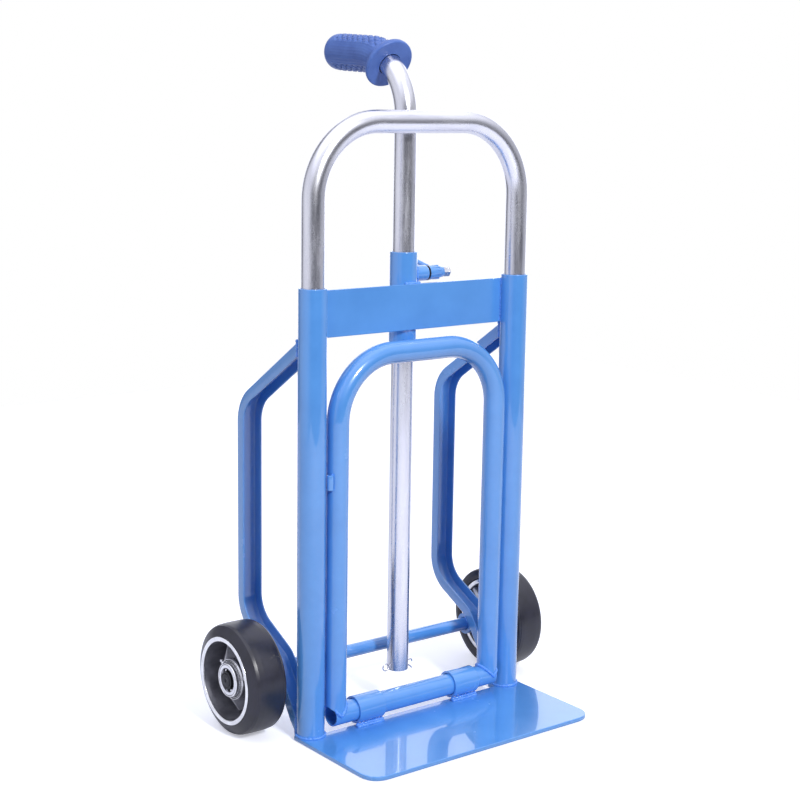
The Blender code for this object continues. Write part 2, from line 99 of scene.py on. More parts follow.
def skin(rings, cyclic=False):
    """Loft over rings, with a UV map in metres: U round the ring, V along the run."""
    bm = bmesh.new()
    uv = bm.loops.layers.uv.new("run")
    loops = [[bm.verts.new(p) for p in points] for points in rings]
    size = len(rings[0])
    run = [0.0]
    for low, high in zip(rings, rings[1:]):
        run.append(run[-1] + (high[0] - low[0]).length)
    girth = sum((a - b).length for a, b in zip(rings[0], rings[0][1:]))
    pairs = [(k, k + 1) for k in range(len(rings) - 1)]
    if cyclic:
        pairs.append((len(rings) - 1, 0))
    for k, nxt in pairs:
        far = run[k] if nxt == 0 else run[nxt]
        for i in range(size):
            j = (i + 1) % size
            corners = (loops[k][i], loops[k][j], loops[nxt][j], loops[nxt][i])
            face = bm.faces.new(corners)
            places = ((i, run[k]), (i + 1, run[k]), (i + 1, far), (i, far))
            for loop, (u, v) in zip(face.loops, places):
                loop[uv].uv = (u / size * girth, v)
    if not cyclic:
        bm.faces.new(loops[0])
        bm.faces.new(loops[-1])
    return bm


def turned(profile, centre, axis, side, sides=SIDES, closed=True):
    """Turn (distance, radius) pairs about an axis through centre."""
    rings = [ring(centre + axis * d, axis, side, r, sides) for d, r in profile]
    return skin(rings, cyclic=closed)


def bent_path(corners, radii, steps=18, straight=0.02):
    """Stations (point, tangent) along straight runs joined by round bends."""
    points = [Vector(c) for c in corners]
    stations = [(points[0], (points[1] - points[0]).normalized())]

    def go_to(point, heading):
        last = stations[-1][0]
        count = max(1, int((point - last).length / straight))
        stations.extend((last.lerp(point, k / count), heading) for k in range(1, count + 1))

    for before, corner, after, radius in zip(points, points[1:], points[2:], radii):
        arriving = (corner - before).normalized()
        leaving = (after - corner).normalized()
        turn = arriving.angle(leaving)
        inward = (leaving - arriving * arriving.dot(leaving)).normalized()
        entry = corner - arriving * radius * math.tan(turn / 2)
        go_to(entry, arriving)
        for k in range(1, steps + 1):
            a = turn * k / steps
            spoke = arriving * math.sin(a) + inward * (1 - math.cos(a))
            stations.append((entry + spoke * radius,
                             arriving * math.cos(a) + inward * math.sin(a)))
    go_to(points[-1], (points[-1] - points[-2]).normalized())
    return stations


def tube(stations, side, outer, bore, sides=SIDES):
    """Open tube along stations, with a small round on each rim."""
    edge = 0.0006
    (start, first), (end, last) = stations[0], stations[-1]
    rings = [ring(start, first, side, outer - edge, sides),
             ring(start + first * edge, first, side, outer, sides)]
    rings += [ring(p, t, side, outer, sides) for p, t in stations[1:-1]]
    rings += [ring(end - last * edge, last, side, outer, sides),
              ring(end, last, side, outer - edge, sides)]
    rings += [ring(p, t, side, bore, sides) for p, t in reversed(stations)]
    return skin(rings, cyclic=True)


def slab(outline, low, high, axis, along, across, edge=0.0006):
    """Plate with the given anticlockwise outline, thick along axis, with softened edges."""
    flat = [Vector(p) for p in outline]

    def level(height, inset):
        points = []
        for i, p in enumerate(flat):
            before = (p - flat[i - 1]).normalized()
            after = (flat[(i + 1) % len(flat)] - p).normalized()
            heading = before + after
            q = p + Vector((-heading.y, heading.x)).normalized() * inset
            points.append(along * q.x + across * q.y + axis * height)
        return points

    ease = 0.3 * edge
    bm = skin([level(low, edge), level(low + ease, ease), level(low + edge, 0.0),
               level(high - edge, 0.0), level(high - ease, ease), level(high, edge)])
    # An outline may be notched, so its caps are filled with triangles and not left as one face.
    caps = [face for face in bm.faces if len(face.verts) == len(flat)]
    borders = [list(cap.edges) for cap in caps]
    bmesh.ops.delete(bm, geom=caps, context="FACES_ONLY")
    for border in borders:
        bmesh.ops.triangle_fill(bm, edges=border, use_beauty=True)
    return bm


def box_part(low, high, bevel):
    """Box from corner low to corner high with rounded edges."""
    bm = bmesh.new()
    bmesh.ops.create_cube(bm, size=1.0)
    for v in bm.verts:
        v.co = Vector(low[i] + (high[i] - low[i]) * (v.co[i] + 0.5) for i in range(3))
    bmesh.ops.bevel(bm, geom=bm.edges[:], offset=bevel, segments=3, affect="EDGES")
    return bm


def piece(name, bm, material, body, stands_for=(), sharp=40):
    """Make bm a finished piece that rides on a body and stands for its CAD nodes."""
    bmesh.ops.recalc_face_normals(bm, faces=bm.faces)
    mesh = bpy.data.meshes.new(name)
    bm.to_mesh(mesh)
    bm.free()
    return settle(name, mesh, material, body, stands_for, sharp)


def settle(name, mesh, material, body, stands_for=(), sharp=40):
    """Paint and shade a mesh, hang it on its body's empty and hide the CAD nodes that it stands
    for.
    """
    mesh.materials.clear()
    mesh.materials.append(material)
    mesh.shade_smooth()
    mesh.set_sharp_from_angle(angle=math.radians(sharp))
    made = bpy.data.objects.new(name, mesh)
    bpy.context.collection.objects.link(made)
    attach(made, body)
    if stands_for:
        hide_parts(*stands_for)
    return made


# ---- nodes --------------------------------------------------------------------------------

def linear(code):
    """sRGB hex to a linear colour."""
    values = [int(code[i:i + 2], 16) / 255 for i in (1, 3, 5)]
    return tuple(v / 12.92 if v <= 0.04045 else ((v + 0.055) / 1.055) ** 2.4
                 for v in values) + (1.0,)


def add_node(tree, kind, inputs=None, **settings):
    """Add a node with its settings; an input given as a socket is linked, else it is a value."""
    made = tree.nodes.new(kind)
    for key, value in settings.items():
        setattr(made, key, value)
    for key, value in (inputs or {}).items():
        if isinstance(value, bpy.types.NodeSocket):
            tree.links.new(value, made.inputs[key])
        else:
            made.inputs[key].default_value = value
    return made


def surface(name, tones, metallic, roughness, mottle_mm, grain_mm, grain_depth_mm,
            use_run=False, stretch=(1, 1, 1), sockets=None):
    """A material whose tone and gloss drift over mottle_mm, with a fine relief of grain_mm."""
    least, most = 0.3, 0.7      # the part of the noise's range that the drift is spread over
    material = bpy.data.materials.new(name)
    material.use_nodes = True
    tree = material.node_tree
    tree.nodes.clear()
    coordinates = add_node(tree, "ShaderNodeTexCoord")
    place = coordinates.outputs["UV" if use_run else "Object"]
    mapped = add_node(tree, "ShaderNodeMapping", {"Vector": place, "Scale": stretch})
    mottle = add_node(tree, "ShaderNodeTexNoise", {
        "Vector": mapped.outputs["Vector"], "Scale": 1000 / mottle_mm, "Detail": 4.0,
        "Roughness": 0.6})
    tone = add_node(tree, "ShaderNodeValToRGB", {"Fac": mottle.outputs["Fac"]})
    tone.color_ramp.elements[0].position = least
    tone.color_ramp.elements[0].color = linear(tones[0])
    tone.color_ramp.elements[1].position = most
    tone.color_ramp.elements[1].color = linear(tones[1])
    gloss = add_node(tree, "ShaderNodeMapRange", {
        "Value": mottle.outputs["Fac"], "From Min": least, "From Max": most,
        "To Min": roughness[0], "To Max": roughness[1]})
    grain = add_node(tree, "ShaderNodeTexNoise", {
        "Vector": mapped.outputs["Vector"], "Scale": 1000 / grain_mm, "Detail": 2.0})
    relief = add_node(tree, "ShaderNodeBump", {
        "Height": grain.outputs["Fac"], "Distance": grain_depth_mm / 1000, "Strength": 1.0})
    shader = add_node(tree, "ShaderNodeBsdfPrincipled", {
        "Base Color": tone.outputs["Color"], "Roughness": gloss.outputs["Result"],
        "Normal": relief.outputs["Normal"], "Metallic": metallic})
    for key, value in (sockets or {}).items():
        shader.inputs[key].default_value = value
    add_node(tree, "ShaderNodeOutputMaterial", {"Surface": shader.outputs["BSDF"]})
    return material


# Sprayed and stoved enamel on steel: deep gloss with a faint orange peel.
ENAMEL = surface("blue_stoved_enamel", ("#5091DC", "#589BE6"), 0.0, (0.20, 0.28), 60, 3.5,
                 0.010, sockets={"Coat Weight": 1.0, "Coat Roughness": 0.03, "Coat IOR": 1.55})
# The same enamel laid over a weld: a little lumpier, so the beads catch small lights.
WELD_ENAMEL = surface("enamel_over_weld", ("#4488E2", "#5C9CF6"), 0.0, (0.2, 0.32), 8, 1.2,
                      0.06, sockets={"Coat Weight": 0.5, "Coat Roughness": 0.08})
# Drawn steel tube with bright zinc plate: streaks along the draw and cloudy patches.
ZINC = surface("zinc_plated_tube", ("#CDCDD8", "#E4E4EA"), 1.0, (0.20, 0.32), 9, 1.4, 0.003,
               use_run=True, stretch=(1.0, 0.12, 1.0))
# Pressure-cast aluminium, left as cast inside: dull grey with a fine skin.
CAST = surface("cast_aluminium", ("#6C6C74", "#8A8A92"), 1.0, (0.45, 0.6), 14, 0.7, 0.03)
# The same casting where a lathe has faced it: bright with close rings.
MACHINED = surface("machined_aluminium", ("#D6D6DA", "#F0F0F3"), 1.0, (0.16, 0.28), 10, 0.6,
                   0.006)
# Carbon-filled rubber from a polished mould: near black with a soft sheen.
TYRE = surface("moulded_tyre_rubber", ("#181824", "#262636"), 0.0, (0.28, 0.42), 25, 0.9,
               0.02, sockets={"IOR": 1.52})
# Dip-moulded vinyl: soft blue with a satin face.
VINYL = surface("moulded_vinyl_grip", ("#3F60AC", "#5274BE"), 0.0, (0.34, 0.48), 20, 0.8,
                0.03, sockets={"IOR": 1.53})
# The casting's ribs in a pale, matt copy of the cast aluminium: a painted highlight, so they
# stand out from the drum.
PAINTED_HIGHLIGHT_RIBS = surface("rib_aluminium_painted_highlight", ("#D4D4DC", "#ECECF2"), 0.25, (0.42, 0.52), 8, 0.6,
                  0.02)
# Bearing steel and spindle ends under a film of grease.
OILED = surface("oiled_bearing_steel", ("#26262A", "#3C3C42"), 1.0, (0.3, 0.45), 5, 0.6, 0.01)
# Turned and plated fasteners, spacers, outer races and balls.
BRIGHT = surface("bright_plated_fastener", ("#C4C4CC", "#E6E6EA"), 1.0, (0.18, 0.3), 6, 0.5,
                 0.006)


# ---- repeats ------------------------------------------------------------------------------

def new_tree(name, sizes):
    """An empty Geometry Nodes tree with a geometry in and out and named sizes."""
    tree = bpy.data.node_groups.new(name, "GeometryNodeTree")
    tree.interface.new_socket("Geometry", in_out="INPUT", socket_type="NodeSocketGeometry")
    for label, kind in sizes:
        tree.interface.new_socket(label, in_out="INPUT", socket_type="NodeSocket" + kind)
    tree.interface.new_socket("Geometry", in_out="OUTPUT", socket_type="NodeSocketGeometry")
    return tree


def close_tree(tree, source, instances):
    """Make the instances real, give them the input material and send them out."""
    real = add_node(tree, "GeometryNodeRealizeInstances", {"Geometry": instances})
    painted = add_node(tree, "GeometryNodeSetMaterial", {
        "Geometry": real.outputs["Geometry"], "Material": source.outputs["Material"]})
    add_node(tree, "NodeGroupOutput", {"Geometry": painted.outputs["Geometry"]})


def make_turned_copies_tree():
    """Copies of the input mesh, evenly turned about the X axis."""
    tree = new_tree("turned_copies", [("Count", "Int"), ("Phase", "Float"),
                                      ("Material", "Material")])
    source = add_node(tree, "NodeGroupInput")
    points = add_node(tree, "GeometryNodePoints", {"Count": source.outputs["Count"]})
    index = add_node(tree, "GeometryNodeInputIndex")
    share = add_node(tree, "ShaderNodeMath", {0: index.outputs[0], 1: 2 * math.pi},
                     operation="MULTIPLY")
    turn = add_node(tree, "ShaderNodeMath", {0: share.outputs[0], 1: source.outputs["Count"]},
                    operation="DIVIDE")
    angle = add_node(tree, "ShaderNodeMath", {0: turn.outputs[0], 1: source.outputs["Phase"]})
    spin = add_node(tree, "ShaderNodeCombineXYZ", {"X": angle.outputs[0]})
    copies = add_node(tree, "GeometryNodeInstanceOnPoints", {
        "Points": points.outputs[0], "Instance": source.outputs["Geometry"],
        "Rotation": spin.outputs[0]})
    close_tree(tree, source, copies.outputs["Instances"])
    return tree


def make_weld_run_tree():
    """Overlapping ripples along the input edges, as a weld bead has."""
    tree = new_tree("weld_run", [("Pitch", "Float"), ("Half Width", "Float"),
                                 ("Material", "Material")])
    source = add_node(tree, "NodeGroupInput")
    curve = add_node(tree, "GeometryNodeMeshToCurve", {"Mesh": source.outputs["Geometry"]})
    spaced = add_node(tree, "GeometryNodeResampleCurve", {
        "Curve": curve.outputs[0], "Length": source.outputs["Pitch"]}, mode="LENGTH")
    ripple = add_node(tree, "GeometryNodeMeshUVSphere", {
        "Segments": 12, "Rings": 8, "Radius": source.outputs["Half Width"]})
    uneven = add_node(tree, "FunctionNodeRandomValue", {"Min": 0.82, "Max": 1.12, "Seed": 7},
                      data_type="FLOAT")
    copies = add_node(tree, "GeometryNodeInstanceOnPoints", {
        "Points": spaced.outputs[0], "Instance": ripple.outputs[0],
        "Scale": uneven.outputs[1]})
    close_tree(tree, source, copies.outputs["Instances"])
    return tree


def grow(tree, mesh, **sizes):
    """Run a tree on a mesh and return the plain mesh that it makes."""
    seed = bpy.data.objects.new("seed", mesh)
    bpy.context.collection.objects.link(seed)
    modifier = seed.modifiers.new("grow", "NODES")
    modifier.node_group = tree
    for item in tree.interface.items_tree:
        if item.in_out == "INPUT" and item.name in sizes:
            modifier[item.identifier] = sizes[item.name]
    bpy.context.view_layer.update()
    graph = bpy.context.evaluated_depsgraph_get()
    made = bpy.data.meshes.new_from_object(seed.evaluated_get(graph))
    bpy.data.objects.remove(seed)
    return made


def to_mesh(bm):
    """The bmesh as a plain mesh."""
    mesh = bpy.data.meshes.new("blank")
    bm.to_mesh(mesh)
    bm.free()
    return mesh


TURNED_COPIES = make_turned_copies_tree()
WELD_RUN = make_weld_run_tree()


def round_an_axis(name, bm, count, phase, material, body, centre, stands_for=()):
    """Copies of bm about an X axis through centre, as one piece."""
    made = grow(TURNED_COPIES, to_mesh(bm), Count=count, Phase=phase, Material=material)
    made.transform(Matrix.Translation(centre))
    return settle(name, made, material, body, stands_for)


def weld(name, runs, half_width, body):
    """Weld beads along runs of points, in enamel."""
    bm = bmesh.new()
    for points in runs:
        verts = [bm.verts.new(p) for p in points]
        for a, b in zip(verts, verts[1:]):
            bm.edges.new((a, b))
    made = grow(WELD_RUN, to_mesh(bm), Pitch=WELD_PITCH, Material=WELD_ENAMEL,
                **{"Half Width": half_width})
    return settle(name, made, WELD_ENAMEL, body, sharp=60)


def arc(centre, radius, start, end, z, steps=16):
    """Points round a vertical axis, from start to end in degrees."""
    angles = [math.radians(start + (end - start) * k / steps) for k in range(steps + 1)]
    return [Vector((centre[0] + radius * math.cos(a), centre[1] + radius * math.sin(a), z))
            for a in angles]


# ---- frame --------------------------------------------------------------------------------

upright_low, upright_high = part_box("right_upright")
FRAME_Y = (upright_low.y + upright_high.y) / 2
UPRIGHT_X = (upright_low.x + upright_high.x) / 2
UPRIGHT_R = (upright_high.x - upright_low.x) / 2


def build_uprights():
    height = upright_high.z - upright_low.z
    bore = UPRIGHT_R - THICK_WALL
    profile = fillet([(0, UPRIGHT_R), (height, UPRIGHT_R), (height, bore), (0, bore)], CUT_ROUND)
    for side, sign in SIGNS.items():
        foot = Vector((sign * UPRIGHT_X, FRAME_Y, upright_low.z))
        piece(side + "_upright_tube", turned(profile, foot, Z, X), ENAMEL, "chassis",
              [side + "_upright"])
        base = arc(foot, UPRIGHT_R + 0.0004, 0, 360, foot.z + 0.0006, 40)
        weld(side + "_upright_foot_weld", [base], 0.0018, "chassis")


def build_top_loop():
    low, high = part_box("top_loop")
    radius = (high.y - low.y) / 2
    top = high.z - radius
    bend = 0.0835
    corners = [(-UPRIGHT_X, FRAME_Y, low.z), (-UPRIGHT_X, FRAME_Y, top),
               (UPRIGHT_X, FRAME_Y, top), (UPRIGHT_X, FRAME_Y, low.z)]
    line = bent_path(corners, [bend] * 2, 32)
    piece("loop_tube", tube(line, Y, radius, radius - THIN_WALL), ZINC, "chassis",
          ["top_loop"])


def build_toe_plate():
    low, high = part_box("toe_plate")
    notch_y = FRAME_Y - 0.0040
    notch_x = 0.1260
    front, ear, notch = 0.025, 0.001, 0.002     # radii of the corners
    outline = fillet([(low.x, low.y, front), (high.x, low.y, front), (high.x, high.y, ear),
                      (notch_x, high.y, ear), (notch_x, notch_y, notch),
                      (-notch_x, notch_y, notch), (-notch_x, high.y, ear),
                      (low.x, high.y, ear)], ear, 10)
    piece("toe_plate_sheet", slab(outline, low.z, high.z, Z, X, Y, 0.0009), ENAMEL, "chassis",
          ["toe_plate"], sharp=20)


def build_crossbar():
    low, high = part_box("crossbar")
    outline = [(low.x, low.z), (high.x, low.z), (high.x, high.z), (low.x, high.z)]
    piece("crossbar_flat", slab(fillet(outline, 0.0006, 2), low.y, high.y, Y, X, Z, 0.0008),
          ENAMEL, "chassis", ["crossbar"], sharp=20)
    inset, proud, short = 0.0026, 0.0003, 0.002
    for side, sign in SIGNS.items():
        x = sign * (high.x - inset)
        runs = [[Vector((x, y, low.z + short)), Vector((x, y, high.z - short))]
                for y in (low.y - proud, high.y + proud)]
        weld(side + "_crossbar_weld", runs, 0.0017, "chassis")


def build_sleeve():
    low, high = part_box("pole_sleeve")
    centre = Vector((0, (low.y + high.y) / 2, low.z))
    length = high.z - low.z
    bore = UPRIGHT_R - THICK_WALL
    profile = fillet([(0, UPRIGHT_R), (length, UPRIGHT_R), (length, bore), (0, bore)], CUT_ROUND)
    piece("sleeve_tube", turned(profile, centre, Z, X), ENAMEL, "chassis",
          ["pole_sleeve"])
    bar_low, bar_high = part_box("crossbar")
    y = bar_high.y + 0.0012
    runs = [[Vector((s * 0.0075, y, bar_low.z + 0.003)),
             Vector((s * 0.0075, y, bar_high.z - 0.003))] for s in (-1, 1)]
    runs.append([Vector((x * 0.001, bar_high.y - 0.0012, bar_high.z + 0.0004))
                 for x in (-9, -4, 0, 4, 9)])
    weld("sleeve_weld", runs, 0.0019, "chassis")


# ---- brackets and axle --------------------------------------------------------------------

BRACKET_X = 0.1445
# Corners of the bracket's centre line: distance behind the uprights' middle, and height.
BRACKET_LINE = ((0.0020, 0.4495), (0.1260, 0.3664), (0.1260, 0.1150), (0.0576, 0.0808),
                (0.0050, 0.0028))


def build_brackets():
    low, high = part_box("right_bracket")
    half = (high.x - low.x) / 2
    deep = 0.00695              # half the depth of the channel
    wall = 0.0020
    bend = 0.0034
    lip = wall * 0.45
    inner = half - wall
    section = fillet([(-half, -deep, lip), (-half, deep, bend), (half, deep, bend),
                      (half, -deep, lip), (inner, -deep, lip),
                      (inner, deep - wall, bend - wall), (wall - half, deep - wall, bend - wall),
                      (wall - half, -deep, lip)], 0.001, 4)
    stations = bent_path([(0, FRAME_Y + y, z) for y, z in BRACKET_LINE],
                         (0.042, 0.040, 0.030), 16)
    slope = 0.67                # fall of the bracket's upper run per metre of depth
    for side, sign in SIGNS.items():
        rings = []
        for point, tangent in stations:
            outward = X.cross(tangent)
            centre = point + X * sign * BRACKET_X
            points = [centre + X * p.x + outward * p.y for p in section]
            for p in points:
                p.z = max(p.z, low.z)
            rings.append(points)
        piece(side + "_channel_bracket", skin(rings), ENAMEL, "chassis",
              [side + "_bracket"])
        runs = []
        for edge in (-1, 1):
            x = sign * BRACKET_X + edge * (half - 0.0004)
            reach = min(abs(x - sign * UPRIGHT_X), UPRIGHT_R * 0.98)
            y = FRAME_Y + math.sqrt(UPRIGHT_R ** 2 - reach ** 2)
            z = BRACKET_LINE[0][1] - (y - FRAME_Y - BRACKET_LINE[0][0]) * slope
            seam = y + 0.0008
            runs.append([Vector((x, seam, z - 0.0078)), Vector((x, seam, z + 0.0078))])
            runs.append([Vector((x, seam, 0.0062)), Vector((x, y + 0.0014, 0.0230))])
        weld(side + "_bracket_weld", runs, 0.0020, "chassis")


axle_low, axle_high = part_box("axle")
AXLE = Vector((0, (axle_low.y + axle_high.y) / 2, (axle_low.z + axle_high.z) / 2))
AXLE_R = 0.00794
PAINTED = 0.1570                # half the length of the axle that is painted


def build_axle():
    """The painted bar and the bare spindles that its ends carry."""
    profile = [(-PAINTED, NEEDLE), (-PAINTED, AXLE_R), (PAINTED, AXLE_R), (PAINTED, NEEDLE)]
    piece("axle_bar", turned(profile, AXLE, X, Y, closed=False), ENAMEL, "chassis",
          ["axle"])
    for side, sign in SIGNS.items():
        profile = [(PAINTED + 0.0001, NEEDLE), (PAINTED + 0.0001, AXLE_R),
                   (axle_high.x, AXLE_R, 0.0010), (axle_high.x, 0.0030, 0.0004),
                   (axle_high.x - 0.0012, NEEDLE)]
        profile = [(sign * d, r) for d, r in fillet(profile, 0.0004, 4, closed=False)]
        piece(side + "_axle_spindle", turned(profile, AXLE, X, Y, closed=False), OILED,
              "chassis")


def build_axle_blocks():
    """The lugs that join the axle to the brackets, with softened edges and their welds."""
    for side in SIGNS:
        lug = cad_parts[side + "_axle_lug"]
        low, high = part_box(side + "_axle_lug")
        bm = bmesh.new()
        bm.from_mesh(lug.data)
        bmesh.ops.remove_doubles(bm, verts=bm.verts, dist=0.00001)
        bmesh.ops.dissolve_limit(bm, angle_limit=0.01, verts=bm.verts, edges=bm.edges)
        rims = [e for e in bm.edges if e.is_manifold and e.calc_face_angle() > 1.0]
        bmesh.ops.bevel(bm, geom=rims, offset=0.0006, segments=2, affect="EDGES")
        piece(side + "_axle_block", bm, ENAMEL, "chassis",
              [side + "_axle_lug"])
        runs = []
        for x in (low.x, high.x):
            top = AXLE + Vector((x, -0.0084, 0.0058))
            runs.append([top + Vector((0, -0.004, -0.006)), top + Vector((0, 0.005, 0.0035))])
        weld(side + "_axle_block_weld", runs, 0.0018, "chassis")


def build_axle_rings():
    """The spacer and the clip on each end of the axle."""
    for side, sign in SIGNS.items():
        for kind, material, slot in (("spacer", BRIGHT, "bright_steel"),
                                     ("clip", OILED, "dark_steel")):
            low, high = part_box(side + "_axle_" + kind)
            near = min(abs(low.x), abs(high.x))
            far = max(abs(low.x), abs(high.x))
            rim = (high.z - low.z) / 2
            bore = AXLE_R + 0.0003
            profile = fillet([(near, bore), (far, bore), (far, rim), (near, rim)], 0.00035)
            profile = [(sign * d, r) for d, r in profile]
            piece(side + "_axle_" + kind + "_ring", turned(profile, AXLE, X, Y), material,
                  "chassis", [side + "_axle_" + kind])


# ---- wheels -------------------------------------------------------------------------------

def build_tyre(side, sign):
    """Tyre with a flat tread, a bead seat and a moulding flash on its inner shoulder."""
    low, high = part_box(side + "_tyre")
    rim = (high.z - low.z) / 2
    outer = max(abs(low.x), abs(high.x))
    inner = min(abs(low.x), abs(high.x))
    seat = rim - 0.0132
    profile = [(inner + 0.0033, seat, 0.0003), (outer - 0.0008, seat, 0.0003),
               (outer, seat + 0.0010, 0.0005), (outer - 0.0034, rim - 0.0055, 0.010),
               (outer - 0.0056, rim - 0.0018, 0.0012), (outer - 0.0090, rim - 0.0006, 0.004),
               (outer - 0.0158, rim - 0.0001, 0.012), (inner + 0.0198, rim, 0.012),
               (inner + 0.0098, rim - 0.0001, 0.010), (inner + 0.0048, rim - 0.0005, 0.001),
               (inner + 0.0045, rim - 0.0010, 0.0003), (inner + 0.0038, rim - 0.0010, 0.0003),
               (inner + 0.0034, rim - 0.0007, 0.0006), (inner + 0.0012, rim - 0.0020, 0.002),
               (inner, seat + 0.0057, 0.006), (inner + 0.0013, seat + 0.0012, 0.002)]
    profile = [(sign * d, r) for d, r in fillet(profile, 0.002, 6)]
    piece(side + "_tyre_tread", turned(profile, AXLE, X, Y, WHEEL_SIDES), TYRE,
          side + "_wheel", [side + "_tyre"])


def build_hub(side, sign):
    """Cast drum and web, its lathe-faced rings and its three ribs."""
    body = side + "_wheel"
    casting = [(0.1605, 0.0178), (0.1722, 0.0178), (0.1722, 0.0120), (0.2004, 0.0120),
               (0.2004, 0.0178), (0.2108, 0.0178), (0.2108, 0.0194), (0.2030, 0.0196),
               (0.2030, 0.0203), (0.2056, 0.0205), (0.2056, 0.0212), (0.2036, 0.0214),
               (0.2036, 0.0221), (0.2056, 0.0223), (0.2056, 0.0232), (0.1866, 0.0244),
               (0.1866, 0.0436, 0.003), (0.2145, 0.0449), (0.2145, 0.0498), (0.1745, 0.0498),
               (0.1745, 0.0450), (0.1814, 0.0438, 0.002), (0.1814, 0.0244), (0.1605, 0.0234)]
    casting = [(sign * d, r) for d, r in fillet(casting, 0.0004, 3)]
    piece(side + "_hub_casting", turned(casting, AXLE, X, Y, WHEEL_SIDES), CAST, body,
          [side + "_hub"])
    rings = {
        "rim": [(0.2140, 0.0448), (0.2160, 0.0450), (0.2166, 0.0460), (0.2164, 0.0502),
                (0.2152, 0.0502), (0.2140, 0.0499)],
        "boss": [(0.2050, 0.0222), (0.2066, 0.0223), (0.2067, 0.0230), (0.2050, 0.0238),
                 (0.1980, 0.0241), (0.1980, 0.0232)],
        "groove": [(0.2050, 0.0204), (0.2066, 0.0206), (0.2066, 0.0211), (0.2050, 0.0213)],
        "collar": [(0.2104, 0.0179), (0.2119, 0.0180), (0.2120, 0.0188), (0.2112, 0.0196),
                   (0.2060, 0.0198), (0.2060, 0.0192)],
        "back": [(0.1750, 0.0450), (0.1734, 0.0452), (0.1730, 0.0462), (0.1732, 0.0499),
                 (0.1750, 0.0499)],
    }
    for part, outline in rings.items():
        profile = [(sign * d, r) for d, r in fillet(outline, 0.0004, 3)]
        piece("_".join((side, part, "machined_ring")),
              turned(profile, AXLE, X, Y, WHEEL_SIDES), MACHINED, body)
    outline = [(0.1765, 0.0232), (0.2052, 0.0232), (0.1902, 0.0447), (0.1765, 0.0447)]
    thick, phase = 0.0025, math.radians(43)     # half a rib's thickness, and the first one's turn
    rib = slab(fillet(outline, 0.0008, 3), -thick, thick, Z, X * sign, Y, 0.0009)
    # The ribs take the pale copy of the casting, a painted highlight for the light that falls on
    # them.
    round_an_axis(side + "_hub_ribs", rib, 3, phase, PAINTED_HIGHLIGHT_RIBS, body, AXLE)


def build_bearings(side, sign):
    """Two races, a cage and nine balls in each end of the hub."""
    body = side + "_wheel"
    width = 0.0108
    for place in ("inner", "outer"):
        node = "_".join((side, place, "bearing"))
        low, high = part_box(node)
        mouth, facing = (high.x, 1) if (place == "outer") == (sign > 0) else (low.x, -1)

        def turn(near, far, front, back, round_off, sides):
            start, end = mouth - facing * front, mouth - facing * back
            profile = fillet([(start, near), (start, far), (end, far), (end, near)], round_off)
            return turned(profile, AXLE, X, Y, sides)

        piece("_".join((side, place, "outer_race")), turn(0.0137, 0.01746, 0, width, 0.0005, 64),
              BRIGHT, body, [node])
        piece("_".join((side, place, "bore_race")),
              turn(AXLE_R + 0.00006, 0.0098, 0, width, 0.0005, 64), OILED, body)
        ball = bmesh.new()
        seat = Vector((mouth - facing * 0.0040, 0.01175, 0))
        bmesh.ops.create_uvsphere(ball, u_segments=16, v_segments=10, radius=0.0021,
                                  matrix=Matrix.Translation(seat))
        round_an_axis(node + "_balls", ball, 9, 0.2, BRIGHT, body, AXLE)
        piece(node + "_cage", turn(0.0100, 0.0135, 0.0058, 0.0046, 0.0002, 48), OILED, body)


def build_nipple(side):
    """Grease nipple that stands out from the hub's boss."""
    low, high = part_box(side + "_grease_nipple")
    middle = (Vector(low) + Vector(high)) / 2
    spoke = Vector((0, middle.y - AXLE.y, middle.z - AXLE.z)).normalized()
    seat = Vector((middle.x, 0, 0)) + AXLE + spoke * 0.0236
    profile = [(0, NEEDLE), (0, 0.0024), (0.0022, 0.0024), (0.0024, 0.0018), (0.0038, 0.0016),
               (0.0044, 0.0023), (0.0056, 0.0022), (0.0064, 0.0012), (0.0065, NEEDLE)]
    profile = fillet(profile, 0.0003, 3, closed=False)
    piece(side + "_nipple_body", turned(profile, seat, spoke, X, 24, closed=False), BRIGHT,
          side + "_wheel", [side + "_grease_nipple"])


# ---- nose frame ---------------------------------------------------------------------------

bar_low, bar_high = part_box("nose_bar")
BAR = Vector((0, (bar_low.y + bar_high.y) / 2, (bar_low.z + bar_high.z) / 2))
BAR_R = (bar_high.z - bar_low.z) / 2


def build_nose_frame():
    low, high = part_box("nose_frame")
    leg_x = high.x - BAR_R
    top = Vector((0, FRAME_Y - 0.0054, high.z - BAR_R))
    corners = [(-leg_x, BAR.y, BAR.z), (-leg_x, top.y, top.z), (leg_x, top.y, top.z),
               (leg_x, BAR.y, BAR.z)]
    lean = Vector((0, top.z - BAR.z, BAR.y - top.y)).normalized()
    bend = 0.073
    bm = tube(bent_path(corners, [bend] * 2, 32), lean, BAR_R, BAR_R - THIN_WALL)
    # The legs are cut to a saddle that sits on the hinge bar.
    for v in bm.verts:
        saddle = BAR.z + math.sqrt(max(0.0, (BAR_R + 0.0002) ** 2 - (v.co.y - BAR.y) ** 2))
        v.co.z = max(v.co.z, saddle)
    piece("nose_arch", bm, ENAMEL, "nose", ["nose_frame"])


def build_hinge_bar():
    """The bar that turns in the barrels, and the welds round the legs that stand on it."""
    leg_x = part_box("nose_frame")[1].x - BAR_R
    bore = BAR_R - THIN_WALL
    profile = fillet([(-bar_high.x, BAR_R), (bar_high.x, BAR_R), (bar_high.x, bore),
                      (-bar_high.x, bore)], 0.0006)
    piece("nose_hinge_bar", turned(profile, BAR, X, Y), ENAMEL, "nose",
          ["nose_bar"])
    runs = []
    for sign in (-1, 1):
        saddle = []
        for k in range(41):
            a = 2 * math.pi * k / 40
            x = sign * leg_x + BAR_R * math.cos(a)
            y = BAR_R * math.sin(a)
            rise = math.sqrt(max(0.0, BAR_R ** 2 - y ** 2))
            saddle.append(Vector((max(-bar_high.x, min(bar_high.x, x)), BAR.y + y * 1.02,
                                  BAR.z + rise + 0.0012)))
        runs.append(saddle)
    weld("nose_leg_weld", runs, 0.0019, "nose")


